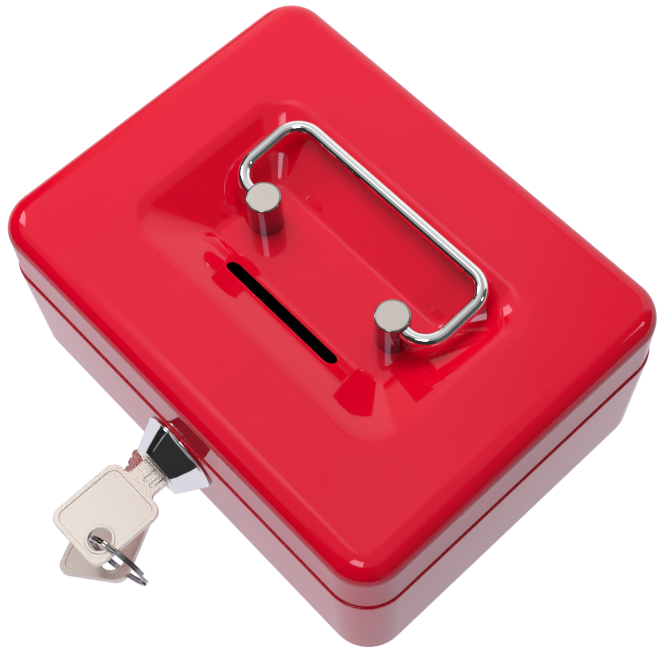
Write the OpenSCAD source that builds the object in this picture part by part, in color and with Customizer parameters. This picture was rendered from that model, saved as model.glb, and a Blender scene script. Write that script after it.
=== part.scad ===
// A small pressed-steel cash box with a key lock, a coin slot, a folding handle and a coin tray.
// The origin is the middle of the box's underside. +X is right, +Y is the hinge side, +Z is up.
// The box is drawn shut and unlocked, with a key in the lock and its handle folded back.

/* [Body] */
// Width of the lid over its side walls
body_w = 152; // [140:1:200]
// Depth of the lid over its front and back walls
body_d = 115; // [108:1:160]
// Height of the closed box
body_h = 66; // [64:0.5:90]
// Height of the base up to its shoulder
base_h = 44.2; // [43:0.1:46]
// Corner radius of the lid, seen from above
corner_r = 12; // [9:0.5:20]
// Thickness of the pressed steel sheet
sheet_t = 0.8; // [0.6:0.1:1.2]
// How far the base's shoulder stands out past the lid
ledge = 0.5; // [0.2:0.1:1]
// Open gap between the lid's rim and the shoulder
seam_gap = 1.2; // [0.5:0.1:2]
// Radius along the lid's top edges
lid_edge_r = 5.2; // [3:0.1:7]
// Radius along the base's bottom edges
base_edge_r = 4; // [2:0.1:6]
// How much the lid's walls lean in on each side
lid_draft = 0.3; // [0:0.05:0.6]
// How much the base's walls lean in on each side
base_draft = 0.75; // [0:0.05:1]
// Share of the lid's height that the base's neck stands up inside it
neck_share = 0.24; // [0.15:0.01:0.29]
// Gap between the neck and the lid's walls
neck_gap = 0.35; // [0.3:0.05:0.6]

/* [Recess and coin slot] */
// Width of the recess at the lid's top
recess_w = 99.5; // [90:0.5:120]
// Depth of the recess at the lid's top, front to back
recess_d = 60; // [54:0.5:70]
// How deep the recess is pressed in
recess_depth = 11.1; // [9:0.1:12]
// Corner radius of the recess at the lid's top
recess_r = 10; // [6:0.5:14]
// Width of the recess floor
floor_w = 65; // [64:0.5:80]
// Depth of the recess floor, front to back
floor_d = 24; // [20:0.5:30]
// Corner radius of the recess floor
floor_r = 2.5; // [1:0.5:4]
// Length of the coin slot over its round ends
slot_l = 43; // [30:0.5:50]
// Width of the coin slot
slot_w = 4.9; // [4:0.1:5]
// Distance of the slot's middle line up the front slope, from the floor
slot_up = 5; // [4.6:0.1:9]

/* [Handle] */
// Distance of each post from the middle of the lid
post_x = 25.5; // [22:0.1:27]
// Distance of the posts behind the middle of the lid
post_y = 1.1; // [-2:0.1:3]
// Radius of a post
post_r = 5; // [4.5:0.1:5.4]
// Height of a post above the recess floor
post_h = 12.7; // [12:0.1:16]
// Chamfer round a post's top
post_chamfer = 0.4; // [0.2:0.1:0.8]
// Radius of the handle's rod
rod_r = 2.05; // [1.6:0.05:2.3]
// Distance of the hinge line below a post's top
rod_drop = 3; // [2.8:0.1:4]
// Distance between the middles of the handle's two arms
handle_w = 76.5; // [70:0.5:82]
// Reach of the handle from its hinge line to the middle of its grip
handle_reach = 24.8; // [22:0.1:28]
// Straight length of rod between a post and the bend into its arm
arm_straight = 0.4; // [0.2:0.1:3]
// Bend radius where an arm meets the grip
grip_bend_r = 7.2; // [4:0.1:8]
// Tilt at which the folded handle lies over the lid
handle_tilt = 5.5; // [4:0.5:12]
// Radius of the screw that holds a post
post_screw_r = 2; // [1.5:0.1:2.2]

/* [Hinges] */
// Distance of each hinge's middle in from the box's side
hinge_in = 34; // [30:1:46]
// Length of each hinge
hinge_len = 26; // [20:1:34]
// Radius of the hinge knuckles
knuckle_r = 2.4; // [2.2:0.1:3]
// Radius of the hinge pins
pin_r = 1.2; // [1:0.05:1.4]
// Thickness of the hinge leaves
leaf_t = 1; // [0.8:0.1:1.2]
// Distance of the lid leaf's upper edge below the bend of the lid's top edge
leaf_clear = 1.1; // [0.8:0.1:3]
// Gap between a hinge knuckle and the base's back face
hinge_gap = 0.3; // [0.3:0.05:0.8]
// Radius of the rivets' shanks
rivet_r = 1.25; // [1:0.05:1.5]

/* [Lock] */
// Distance of the lock to the right of the middle
lock_x = 1; // [-10:0.5:10]
// Distance of the lock's axis below the base's shoulder
lock_drop = 14.7; // [14.6:0.1:16]
// Radius of the lock's flange
flange_r = 12.7; // [12.5:0.1:14]
// Thickness of the flange
flange_t = 1.1; // [0.8:0.1:1.5]
// Number of wide sides of the tapered nose
nose_sides = 5; // [4:1:8]
// Angle that a narrow side of the nose spans between two wide ones
nose_corner = 14; // [6:1:24]
// Width of the flange round the corners of the nose
nose_rim = 0.1; // [0.1:0.1:1.2]
// Corner radius of the nose at its tip
nose_tip_r = 8.5; // [7.6:0.1:9]
// Length of the tapered nose
nose_l = 7.5; // [6:0.5:10]
// Turn of the nose on its axis
nose_turn = -1; // [-20:1:20]
// Radius of the lock's barrel behind the wall
barrel_r = 8; // [7.5:0.1:8.5]
// Length of the barrel behind the wall's outer face
barrel_l = 12; // [11:0.5:14]
// Radius of the plug that turns
plug_r = 5.6; // [5.4:0.05:6]
// Number of wafers in the plug
wafer_count = 5; // [3:1:5]
// Width of the lock nut over its flats
nut_flats = 20; // [19:0.5:22]
// Thickness of the lock nut
nut_t = 3; // [2:0.5:4]
// Length of the cam from the lock's axis to its tip
cam_l = 17.5; // [16:0.5:18]
// Width of the cam's arm
cam_w = 6.4; // [5:0.1:7]
// Thickness of the cam
cam_t = 1.6; // [1.2:0.1:2]
// Thickness of the strike's plate
strike_t = 1.2; // [1:0.1:1.6]
// Width of the strike
strike_w = 8; // [7:0.5:9]

/* [Keys] */
// Width of a key's bow
bow_w = 21; // [18:0.5:22]
// Length of a key's bow
bow_l = 24.1; // [23:0.1:25]
// Corner radius of a key's bow
bow_r = 3.5; // [2:0.5:4]
// Thickness of a key
key_t = 1.8; // [1.6:0.1:2]
// Width of a key's neck
neck_w = 9.6; // [9:0.1:11]
// Length of a key's neck, from its bow to its shoulder
neck_l = 6.2; // [5.4:0.1:7.5]
// Width of a key's blade
blade_w = 7.6; // [7:0.1:8]
// Length of a key's blade
blade_l = 17; // [15:0.5:17.5]
// Radius of the hole in a key's bow
key_hole_r = 3.3; // [3.2:0.05:3.5]
// Distance of the hole from the bow's middle line
key_hole_x = 4.6; // [4.4:0.1:4.8]
// Distance of the hole from the bow's outer end
key_hole_y = 6.3; // [6:0.1:6.5]
// Inner radius of the split ring
ring_in_r = 9.4; // [9.2:0.1:9.8]
// Thickness of the split ring from its inner to its outer edge
ring_band = 1.1; // [0.9:0.1:1.2]
// Width of the split ring across its two turns
ring_width = 1.6; // [1.4:0.1:1.8]
// Distance of the split ring's middle beside the key's hole
ring_side = 4.9; // [4.8:0.1:5.2]
// Play of the split ring on a key
ring_play = 0.5; // [0.45:0.05:0.6]
// Turn of the split ring away from the box's front
ring_yaw = 11; // [5:1:12]
// Turn of the spare key away from the lock's direction
spare_yaw = 34.5; // [30:0.5:40]
// Roll of the spare key
spare_roll = 10; // [5:1:12]
// Distance of the spare key's hole to the right of the other key's hole
spare_side = 1.3; // [0.8:0.1:1.8]

/* [Coin tray] */
// Height of the tray
tray_h = 20; // [16:0.5:21]
// Wall thickness of the tray
tray_t = 1.4; // [1.2:0.1:2]
// Gap between the tray and the neck that it passes
tray_gap = 1.2; // [0.6:0.1:2]
// Height of the tray's underside above the table
tray_z = 23.6; // [22:0.1:24]
// Depth of the coin wells behind the lock's notch
well_d = 37; // [30:1:42]
// Width of a ledge that carries the tray
rest_w = 14; // [10:1:20]

/* [Hidden] */
$fn = 64;
slab = 0.01;
edge_steps = 6;
fit = 0.05;
press = 0.02;
past = 1;

base_w = body_w + 2 * ledge;
base_d = body_d + 2 * ledge;
base_r = corner_r + ledge;
rim_z = base_h + seam_gap;
neck_h = neck_share * (body_h - rim_z);
neck_inset = ledge + sheet_t + neck_gap;
recess_floor = body_h - recess_depth;
recess_slope = atan2(recess_depth, (recess_d - floor_d) / 2);

rod_z = recess_floor + post_h - rod_drop;
rod_end_x = post_x - 2;
arm_bend_r = handle_w / 2 - post_x - post_r - arm_straight;
washer_t = 0.8;
washer_r = 4.4;
screw_head_r = 3.6;
screw_head_h = 2.2;
post_thread_l = 6.6;

hinge_x = body_w / 2 - hinge_in;
hinge_y = base_d / 2 + hinge_gap + knuckle_r;
hinge_z = base_h + seam_gap / 2;
leaf_h = body_h - lid_edge_r - leaf_clear - hinge_z - knuckle_r;
leaf_base_y = base_d / 2;
leaf_lid_y = body_d / 2;
knuckle_l = hinge_len / 3;
knuckle_play = 0.15;
rivet_head_r = 2.2;
rivet_head_h = 0.8;
rivet_up = (leaf_h + base_h + neck_h - hinge_z - knuckle_r) / 2;
rivet_spread = hinge_len * 0.32;

lock_z = base_h - lock_drop;
lock_y = base_d / 2 - wall_lean(lock_z + flange_r);
nose_base_r = flange_r - nose_rim;
tip_t = 0.3;
plug_face = flange_t + nose_l + tip_t - 0.2;
barrel_back = sheet_t - barrel_l;
cam_front = barrel_back - 0.25;
tail_w = 5.6;
lock_screw_r = 1.5;
lock_screw_head_r = 3.4;
lock_screw_head_h = 2.2;
lock_screw_l = 3.6;
wafer_pitch = 3;
wafer_t = 0.9;
wafer_w = 9.8;
wafer_h = 5;
keyway_h = key_t + 0.5;
keyway_w = blade_w + 0.5;
keyway_l = blade_l + 0.5;
strike_x = lock_x + 10.5;
strike_y = -lock_y - (cam_front - cam_t) + 0.7;
strike_reach = 5;
strike_tab = 8;
lip_z = lock_z - cam_w / 2 - 0.4;

key_len = bow_l + neck_l + blade_l;
key_end_y = -lock_y - plug_face - fit - neck_l - bow_l;
ring_off = 0.5;
key_tip = 1;
key_tip_l = 2;
key_groove_w = 1.2;
key_groove_deep = 0.3;
key_rim = 1.5;
key_panel_deep = 0.25;
ring_mid_r = ring_in_r + ring_band / 2;
ring_x = lock_x + key_hole_x + ring_side;
ring_y = key_end_y + key_hole_y + ring_off;
ring_z = lock_z + key_t / 2 + ring_play - ring_in_r;
spare_hole_x = lock_x + key_hole_x + spare_side;
spare_hole_y = key_end_y + key_hole_y;
spare_hole_z = ring_z - ring_in_r + key_t / 2 - fit;
spare_low = key_t / 2 + (key_hole_x + key_tip) * sin(spare_roll) + fit;
spare_pitch = asin((spare_hole_z - spare_low) / (key_len - key_hole_y));

rest_t = 1;
rest_reach = 8;
rest_leg = 10;
rest_y = body_d * 0.28;
rest_z = tray_z - fit;
tray_inset = neck_inset + sheet_t + tray_gap;
tray_w = base_w - 2 * tray_inset;
tray_d = base_d - 2 * tray_inset;
tray_r = base_r - tray_inset;
notch_left = lock_x - nut_flats / 2 - 3;
notch_right = strike_x + strike_w + 3;
notch_back = strike_y + strike_t + 2.4;
well_r = 3;

red = "#c8102e";
chrome = "#c9cbce";
nickel = "#d9d2c8";
zinc = "#9fa3a8";
brass = "#b99b52";
grey_plastic = "#3b3d40";

// How far the base's outer face lies inside its widest line, at height z
function wall_lean(z) = base_draft * (base_h - z) / (base_h - base_edge_r);

// Rectangle with round corners, about the origin
module plan(w, d, r) {
    square([w - 2 * r, d], center = true);
    square([w, d - 2 * r], center = true);
    for (sx = [-1, 1], sy = [-1, 1])
        translate([sx * (w / 2 - r), sy * (d / 2 - r)])
            circle(r, $fn = 32);
}

// Outline with round ends, lying along X
module stadium(l, w) {
    square([l - w, w], center = true);
    for (sx = [-1, 1])
        translate([sx * (l - w) / 2, 0])
            circle(w / 2);
}

// Low dome of radius r and height h, standing on the XY plane
module dome(r, h) {
    ball = (r * r + h * h) / (2 * h);
    intersection() {
        translate([0, 0, h - ball])
            sphere(ball);
        cylinder(h = h, r = r);
    }
}

// Solid of the lid, its faces moved in by skin
module lid_form(skin) {
    edge = lid_edge_r - skin;
    hull() {
        for (step = [0:edge_steps]) {
            turn = 90 * step / edge_steps;
            inset = skin + lid_draft + edge * (1 - cos(turn));
            translate([0, 0, body_h - lid_edge_r + edge * sin(turn) - slab])
                linear_extrude(slab)
                    plan(body_w - 2 * inset, body_d - 2 * inset, corner_r - inset);
        }
        translate([0, 0, rim_z - skin])
            linear_extrude(slab)
                plan(body_w - 2 * skin, body_d - 2 * skin, corner_r - skin);
    }
}

// Solid of the base up to its shoulder, its faces moved in by skin
module base_form(skin) {
    edge = base_edge_r - skin;
    hull() {
        for (step = [0:edge_steps]) {
            turn = 90 * step / edge_steps;
            inset = skin + base_draft + edge * (1 - cos(turn));
            translate([0, 0, base_edge_r - edge * sin(turn)])
                linear_extrude(slab)
                    plan(base_w - 2 * inset, base_d - 2 * inset, base_r - inset);
        }
        translate([0, 0, base_h - skin - slab])
            linear_extrude(slab)
                plan(base_w - 2 * skin, base_d - 2 * skin, base_r - skin);
    }
}

// One level of the recess, rise mm above its floor and grown by skin
module recess_level(rise, skin) {
    share = rise / recess_depth;
    translate([0, 0, recess_floor + rise])
        linear_extrude(slab)
            plan(floor_w + (recess_w - floor_w) * share + 2 * skin,
                 floor_d + (recess_d - floor_d) * share + 2 * skin,
                 floor_r + (recess_r - floor_r) * share + skin);
}

// Solid that the pressed recess takes up below its skin
module recess_pan() {
    hull() {
        translate([0, 0, -sheet_t])
            recess_level(0, sheet_t);
        recess_level(recess_depth - slab, sheet_t);
    }
}

// Hollow of the recess, run past the lid's top
module recess_hollow() {
    hull() {
        recess_level(0, 0);
        recess_level(recess_depth + past, 0);
    }
}

// Cutter of the coin slot, square to the front slope
module slot_cut() {
    translate([0, -floor_d / 2, recess_floor])
        rotate([-recess_slope, 0, 0])
            translate([0, -slot_up, 0])
                linear_extrude(height = 6 * sheet_t, center = true)
                    stadium(slot_l, slot_w);
}

// Holes or shanks of one hinge's rivets along Y, from y0 to y1, at height z
module rivet_bores(z, y0, y1, r) {
    for (side = [-1, 1], spread = [-1, 1])
        translate([side * hinge_x + spread * rivet_spread, y0, z])
            rotate([-90, 0, 0])
                cylinder(h = y1 - y0, r = r);
}

// Moves children to the lock's axis: +Z points out of the front, +Y points up
module at_lock() {
    translate([lock_x, -lock_y, lock_z])
        rotate([90, 0, 0])
            children();
}

module base_shell() {
    color(red)
        difference() {
            union() {
                base_form(0);
                translate([0, 0, base_h - sheet_t])
                    linear_extrude(sheet_t + neck_h)
                        plan(base_w - 2 * neck_inset, base_d - 2 * neck_inset, base_r - neck_inset);
            }
            base_form(sheet_t);
            translate([0, 0, base_h - 2 * sheet_t])
                linear_extrude(2 * sheet_t + neck_h + past)
                    plan(base_w - 2 * (neck_inset + sheet_t), base_d - 2 * (neck_inset + sheet_t),
                         base_r - neck_inset - sheet_t);
            at_lock()
                translate([0, 0, -2 * sheet_t - past])
                    cylinder(h = 2 * sheet_t + 2 * past, r = barrel_r + 2 * fit);
            rivet_bores(hinge_z - knuckle_r - rivet_up, base_d / 2 - 3 * sheet_t, base_d / 2 + past,
                        rivet_r + press);
        }
}

module lid_shell() {
    color(red)
        difference() {
            union() {
                difference() {
                    lid_form(0);
                    lid_form(sheet_t);
                }
                recess_pan();
            }
            recess_hollow();
            slot_cut();
            for (side = [-1, 1])
                translate([side * post_x, post_y, recess_floor - 2 * sheet_t])
                    cylinder(h = 4 * sheet_t, r = post_screw_r + 2 * fit);
            rivet_bores(hinge_z + knuckle_r + rivet_up, body_d / 2 - 3 * sheet_t, body_d / 2 + past,
                        rivet_r + press);
        }
}

// One quarter bend of the rod in the XY plane, from +X round to +Y about the origin
module rod_bend(r) {
    rotate_extrude(angle = 90)
        translate([r, 0])
            circle(rod_r);
}

// Straight length of rod along X, from x0 to x1
module rod_run(x0, x1) {
    translate([x0, 0, 0])
        rotate([0, 90, 0])
            cylinder(h = x1 - x0, r = rod_r);
}

module handle() {
    arm_x = handle_w / 2;
    color(chrome)
        translate([0, post_y, rod_z])
            rotate([handle_tilt, 0, 0]) {
                translate([0, handle_reach, 0])
                    rod_run(grip_bend_r - arm_x, arm_x - grip_bend_r);
                for (side = [0, 1])
                    mirror([side, 0, 0]) {
                        rod_run(rod_end_x, arm_x - arm_bend_r);
                        translate([arm_x - arm_bend_r, arm_bend_r, 0])
                            rotate([0, 0, -90])
                                rod_bend(arm_bend_r);
                        translate([arm_x, arm_bend_r, 0])
                            rotate([-90, 0, 0])
                                cylinder(h = handle_reach - arm_bend_r - grip_bend_r, r = rod_r);
                        translate([arm_x - grip_bend_r, handle_reach - grip_bend_r, 0])
                            rod_bend(grip_bend_r);
                    }
            }
}

// One post at the origin, with its rod hole open towards +X
module post() {
    color(chrome)
        difference() {
            union() {
                cylinder(h = post_h - post_chamfer, r = post_r);
                translate([0, 0, post_h - post_chamfer])
                    cylinder(h = post_chamfer, r1 = post_r, r2 = post_r - post_chamfer);
            }
            translate([rod_end_x - post_x - 0.5, 0, post_h - rod_drop])
                rotate([0, 90, 0])
                    cylinder(h = 2 * post_r, r = rod_r + fit);
            translate([0, 0, -past])
                cylinder(h = post_thread_l + past, r = post_screw_r + press);
        }
}

module post_left() {
    translate([-post_x, post_y, recess_floor])
        mirror([1, 0, 0])
            post();
}

module post_right() {
    translate([post_x, post_y, recess_floor])
        post();
}

module post_washers() {
    color(zinc)
        for (side = [-1, 1])
            translate([side * post_x, post_y, recess_floor - sheet_t - washer_t])
                difference() {
                    cylinder(h = washer_t, r = washer_r);
                    translate([0, 0, -past])
                        cylinder(h = washer_t + 2 * past, r = post_screw_r + 2 * fit);
                }
}

module post_screws() {
    screw_top = recess_floor + post_thread_l - 0.4;
    head_top = recess_floor - sheet_t - washer_t;
    color(zinc)
        for (side = [-1, 1])
            translate([side * post_x, post_y, head_top])
                difference() {
                    union() {
                        cylinder(h = screw_top - head_top, r = post_screw_r);
                        mirror([0, 0, 1])
                            dome(screw_head_r, screw_head_h);
                    }
                    for (turn = [0, 90])
                        rotate([0, 0, turn])
                            translate([0, 0, -screw_head_h])
                                cube([3.6, 0.8, 2], center = true);
                }
}

// Plate, web and knuckles of one leaf. up is 1 for the lid's leaf and -1 for the base's
module hinge_leaf(side, face_y, up, starts) {
    edge_z = hinge_z + up * knuckle_r;
    color(zinc)
        difference() {
            union() {
                translate([side * hinge_x - hinge_len / 2, face_y, up > 0 ? edge_z : edge_z - leaf_h])
                    cube([hinge_len, leaf_t, leaf_h]);
                for (start = starts)
                    translate([side * hinge_x - hinge_len / 2 + start * knuckle_l + knuckle_play, 0, 0]) {
                        translate([0, face_y, up > 0 ? edge_z - leaf_t : edge_z - leaf_t / 2])
                            cube([knuckle_l - 2 * knuckle_play, hinge_y - face_y, leaf_t * 1.5]);
                        translate([0, hinge_y, hinge_z])
                            rotate([0, 90, 0])
                                cylinder(h = knuckle_l - 2 * knuckle_play, r = knuckle_r);
                    }
            }
            translate([side * hinge_x - hinge_len / 2 - past, hinge_y, hinge_z])
                rotate([0, 90, 0])
                    cylinder(h = hinge_len + 2 * past, r = pin_r + (up > 0 ? fit : press));
            rivet_bores(edge_z + up * rivet_up, face_y - past, face_y + leaf_t + past, rivet_r + press);
        }
}

module hinge_left_base_leaf() {
    hinge_leaf(-1, leaf_base_y, -1, [0, 2]);
}

module hinge_right_base_leaf() {
    hinge_leaf(1, leaf_base_y, -1, [0, 2]);
}

module hinge_left_lid_leaf() {
    hinge_leaf(-1, leaf_lid_y, 1, [1]);
}

module hinge_right_lid_leaf() {
    hinge_leaf(1, leaf_lid_y, 1, [1]);
}

module hinge_pin(side) {
    color(zinc)
        translate([side * hinge_x, hinge_y, hinge_z])
            rotate([0, 90, 0]) {
                cylinder(h = hinge_len, r = pin_r, center = true);
                for (end = [0, 1])
                    mirror([0, 0, end])
                        translate([0, 0, hinge_len / 2 - slab])
                            dome(pin_r + 0.6, 0.7);
            }
}

module hinge_left_pin() {
    hinge_pin(-1);
}

module hinge_right_pin() {
    hinge_pin(1);
}

// Rivets from the inner face of a wall to the outer face of its leaf
module rivets(z, inner_y, outer_y) {
    color(zinc) {
        rivet_bores(z, inner_y - slab, outer_y + slab, rivet_r);
        for (side = [-1, 1], spread = [-1, 1])
            translate([side * hinge_x + spread * rivet_spread, 0, z]) {
                translate([0, outer_y, 0])
                    rotate([-90, 0, 0])
                        dome(rivet_head_r, rivet_head_h);
                translate([0, inner_y, 0])
                    rotate([90, 0, 0])
                        cylinder(h = rivet_head_h / 2, r = rivet_head_r);
            }
    }
}

module base_rivets() {
    z = hinge_z - knuckle_r - rivet_up;
    rivets(z, base_d / 2 - wall_lean(z - rivet_head_r) - sheet_t, leaf_base_y + leaf_t);
}

module lid_rivets() {
    z = hinge_z + knuckle_r + rivet_up;
    rivets(z, body_d / 2 - lid_draft - sheet_t, leaf_lid_y + leaf_t);
}

// Corners of the nose, its wide sides and the narrow ones between them, on a circle of radius r
module nose_outline(r) {
    pitch = 360 / nose_sides;
    polygon([for (side = [0:nose_sides - 1], end = [-1, 1])
        let (turn = pitch * side + nose_turn + end * (pitch - nose_corner) / 2)
            [r * cos(turn), r * sin(turn)]]);
}

module lock_body() {
    color(chrome)
        at_lock()
            difference() {
                union() {
                    cylinder(h = flange_t, r = flange_r);
                    translate([0, 0, flange_t - slab])
                        linear_extrude(height = nose_l + slab, scale = nose_tip_r / nose_base_r)
                            nose_outline(nose_base_r);
                    translate([0, 0, flange_t + nose_l - slab])
                        cylinder(h = tip_t + slab, r = plug_r + 0.8);
                    translate([0, 0, barrel_back])
                        cylinder(h = -barrel_back + slab, r = barrel_r);
                }
                translate([0, 0, barrel_back - past])
                    cylinder(h = barrel_l + nose_l + 2 * flange_t + 2 * past, r = plug_r + fit);
            }
}

module lock_nut() {
    wall_back = -sheet_t - wall_lean(lock_z - nut_flats / 2) - 0.1;
    color(brass)
        at_lock()
            translate([0, 0, wall_back - nut_t])
                difference() {
                    cylinder(h = nut_t, r = nut_flats / sqrt(3), $fn = 6);
                    translate([0, 0, -past])
                        cylinder(h = nut_t + 2 * past, r = barrel_r + press);
                }
}

// Moves children to the middle of each wafer on the lock's axis
module each_wafer() {
    for (place = [1:wafer_count])
        translate([0, 0, plug_face - wafer_pitch * place - 0.6])
            children();
}

module lock_plug() {
    color(nickel)
        at_lock()
            difference() {
                union() {
                    translate([0, 0, barrel_back - 0.1])
                        cylinder(h = plug_face - barrel_back + 0.1, r = plug_r);
                    translate([-tail_w / 2, -tail_w / 2, cam_front - cam_t + 0.1])
                        cube([tail_w, tail_w, cam_t + 1]);
                }
                translate([-keyway_w / 2, -keyway_h / 2, plug_face - keyway_l])
                    cube([keyway_w, keyway_h, keyway_l + past]);
                each_wafer()
                    cube([2 * plug_r + past, wafer_h + 2 * fit, wafer_t + 2 * fit], center = true);
                translate([0, 0, cam_front - cam_t - past])
                    cylinder(h = lock_screw_l + past - 0.9, r = lock_screw_r + press);
            }
}

module lock_wafers() {
    color(brass)
        at_lock()
            each_wafer()
                difference() {
                    cube([wafer_w, wafer_h, wafer_t], center = true);
                    cube([keyway_w, keyway_h, 2 * wafer_t], center = true);
                }
}

module lock_cam() {
    color(zinc)
        at_lock()
            translate([0, 0, cam_front - cam_t])
                difference() {
                    union() {
                        cylinder(h = cam_t, r = cam_w);
                        translate([-cam_w / 2, 0, 0])
                            cube([cam_w, cam_l - cam_w / 2, cam_t]);
                        translate([0, cam_l - cam_w / 2, 0])
                            cylinder(h = cam_t, r = cam_w / 2);
                    }
                    translate([-tail_w / 2 - fit, -tail_w / 2 - fit, -past])
                        cube([tail_w + 2 * fit, tail_w + 2 * fit, cam_t + 2 * past]);
                }
}

module cam_screw() {
    head_front = cam_front - cam_t - press;
    color(zinc)
        at_lock()
            translate([0, 0, head_front])
                difference() {
                    union() {
                        cylinder(h = lock_screw_l - 1, r = lock_screw_r);
                        translate([0, 0, -lock_screw_head_h])
                            cylinder(h = lock_screw_head_h + slab, r = lock_screw_head_r);
                    }
                    translate([0, 0, -lock_screw_head_h])
                        cube([2 * lock_screw_head_r + past, 0.9, 1.6], center = true);
                }
}

module lid_strike() {
    top_z = body_h - sheet_t;
    color(zinc)
        translate([strike_x, 0, 0]) {
            translate([0, strike_y, lip_z - strike_t])
                cube([strike_w, strike_t, top_z - lip_z + strike_t]);
            translate([0, strike_y, top_z - strike_t])
                cube([strike_w, strike_tab, strike_t]);
            translate([0, strike_y - strike_reach, lip_z - strike_t])
                cube([strike_w, strike_reach + strike_t, strike_t]);
        }
}

// Flat outline of a key, its bow's outer end on the X axis and its blade along +Y
module key_outline() {
    translate([0, bow_l / 2])
        plan(bow_w, bow_l, bow_r);
    translate([-neck_w / 2, bow_l - slab])
        square([neck_w, neck_l + slab]);
    for (side = [-1, 1])
        translate([side * neck_w / 2, bow_l])
            difference() {
                translate([side > 0 ? 0 : -1.5, -slab])
                    square([1.5, 1.5]);
                translate([side * 1.5, 1.5])
                    circle(1.5);
            }
    translate([0, bow_l + neck_l - slab])
        polygon([[-blade_w / 2, 0], [blade_w / 2, 0], [blade_w / 2, blade_l - key_tip_l],
                 [key_tip, blade_l], [-key_tip, blade_l], [-blade_w / 2, blade_l - key_tip_l]]);
}

// Shallow panel pressed into one face of the bow, round the hole's raised ring
module key_panel() {
    linear_extrude(key_panel_deep + past)
        difference() {
            translate([0, bow_l / 2])
                plan(bow_w - 2 * key_rim, bow_l - 2 * key_rim, bow_r - key_rim / 2);
            translate([key_hole_x, key_hole_y])
                circle(key_hole_r + 0.9);
        }
}

// One key, flat, about its own middle plane
module key() {
    color(nickel)
        difference() {
            translate([0, 0, -key_t / 2])
                linear_extrude(key_t)
                    key_outline();
            translate([key_hole_x, key_hole_y, -key_t])
                cylinder(h = 2 * key_t, r = key_hole_r);
            for (face = [0, 1])
                mirror([0, 0, face])
                    translate([0, 0, key_t / 2]) {
                        translate([0, 0, -key_panel_deep])
                            key_panel();
                        for (groove_x = [-0.4, 2])
                            translate([groove_x, bow_l + neck_l * 0.35, -key_groove_deep])
                                cube([key_groove_w, key_len, past]);
                    }
            for (place = [0:3], side = [-1, 1])
                translate([side * blade_w / 2, bow_l + neck_l + 3.2 + 3.2 * place, -key_t])
                    rotate([0, 0, 45])
                        cube([1, 1, 4 * key_t], center = true);
        }
}

module key_in_lock() {
    translate([lock_x, key_end_y, lock_z])
        key();
}

module spare_key() {
    translate([spare_hole_x, spare_hole_y, spare_hole_z])
        rotate([0, 0, spare_yaw])
            rotate([-spare_pitch, -spare_roll, 0])
                translate([-key_hole_x, -key_hole_y, 0])
                    key();
}

module key_ring() {
    color(chrome)
        translate([ring_x, ring_y, ring_z])
            rotate([90, 0, ring_yaw])
                difference() {
                    rotate_extrude()
                        translate([ring_mid_r, 0])
                            plan(ring_band, ring_width, ring_band / 4);
                    rotate_extrude()
                        translate([ring_mid_r + ring_band / 2, 0])
                            square([ring_band / 2, ring_width / 10], center = true);
                }
}

// One coin well from (x0, y0) to (x1, y1)
module well(x0, x1, y0, y1) {
    translate([(x0 + x1) / 2, (y0 + y1) / 2, tray_z + tray_t])
        linear_extrude(tray_h)
            plan(x1 - x0, y1 - y0, well_r);
}

module coin_tray() {
    left = -tray_w / 2 + tray_t;
    right = tray_w / 2 - tray_t;
    front = -tray_d / 2 + tray_t;
    wells_front = notch_back + tray_t;
    wells_back = wells_front + well_d;
    left_mid = (left + notch_left) / 2;
    right_mid = (right + notch_right) / 2;
    color(grey_plastic)
        difference() {
            translate([0, 0, tray_z])
                linear_extrude(tray_h)
                    plan(tray_w, tray_d, tray_r);
            translate([notch_left, -tray_d / 2 - past, tray_z - past])
                cube([notch_right - notch_left, notch_back + tray_d / 2 + past, tray_h + 2 * past]);
            well(left, left_mid - tray_t, front, wells_back);
            well(left_mid, notch_left - tray_t, front, wells_back);
            well(notch_left, notch_right, wells_front, wells_back);
            well(notch_right + tray_t, right_mid, front, wells_back);
            well(right_mid + tray_t, right, front, wells_back);
            well(left, right, wells_back + tray_t, tray_d / 2 - tray_t);
        }
}

module tray_rests() {
    wall_x = base_w / 2 - wall_lean(rest_z - rest_leg) - sheet_t;
    color(red)
        for (side = [0, 1], end = [-1, 1])
            mirror([side, 0, 0])
                translate([wall_x - rest_reach, end * rest_y - rest_w / 2, rest_z - rest_leg]) {
                    translate([rest_reach - rest_t, 0, 0])
                        cube([rest_t, rest_w, rest_leg]);
                    translate([0, 0, rest_leg - rest_t])
                        cube([rest_reach, rest_w, rest_t]);
                }
}

base_shell();
lid_shell();
handle();
post_left();
post_right();
post_washers();
post_screws();
hinge_left_base_leaf();
hinge_left_lid_leaf();
hinge_left_pin();
hinge_right_base_leaf();
hinge_right_lid_leaf();
hinge_right_pin();
base_rivets();
lid_rivets();
lock_body();
lock_nut();
lock_plug();
lock_wafers();
lock_cam();
cam_screw();
lid_strike();
key_in_lock();
spare_key();
key_ring();
coin_tray();
tray_rests();
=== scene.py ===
# %% [markdown]
# # A small cash box in red stoving enamel
# The real box is a pressed-steel base and lid, hinged at the back, with a key lock in the front, a coin
# slot and a folding handle in the lid. The CAD model already gives every piece its size and its joint.
# This lesson dresses that frame: sheet-metal edges get their bends, the plating gets its gloss, and the
# box is set in a plain bright studio.

# %% Load the fixed frame
import math
import bmesh
import bpy
from mathutils import Matrix, Vector


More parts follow.
